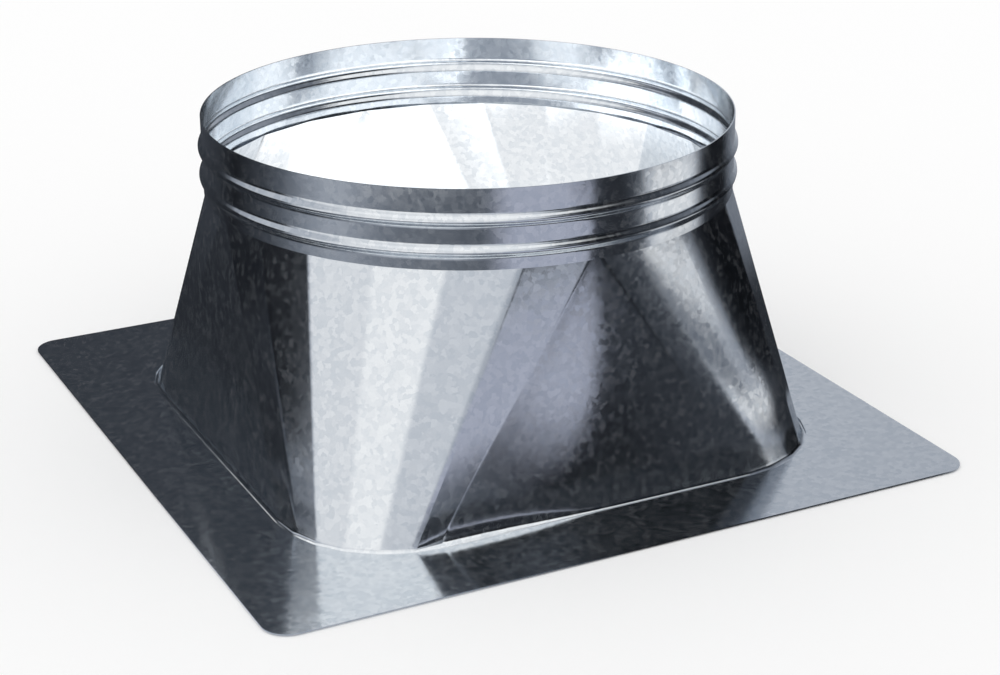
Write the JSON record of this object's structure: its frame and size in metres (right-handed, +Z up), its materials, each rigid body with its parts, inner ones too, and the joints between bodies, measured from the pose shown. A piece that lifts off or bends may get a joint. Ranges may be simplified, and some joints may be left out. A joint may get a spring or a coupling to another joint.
{
  "type": "roof ventilator base",
  "caption": "Sheet-steel roof ventilator base: a flat square flange, a bent square-to-round throat and a beaded round collar that takes a ventilator or duct.",
  "frame": {"origin": "middle of the underside, on the duct axis", "axes": "+Z up along the duct axis, X and Y along the flange's edges"},
  "size_m": [0.436, 0.436, 0.193],
  "materials": {
    "galvanised_steel": "hot-dip galvanised, spangled"
  },
  "bodies": {
    "root": {"collar": "galvanised_steel", "throat": "galvanised_steel", "flange": "galvanised_steel"}
  },
  "joints": []
}
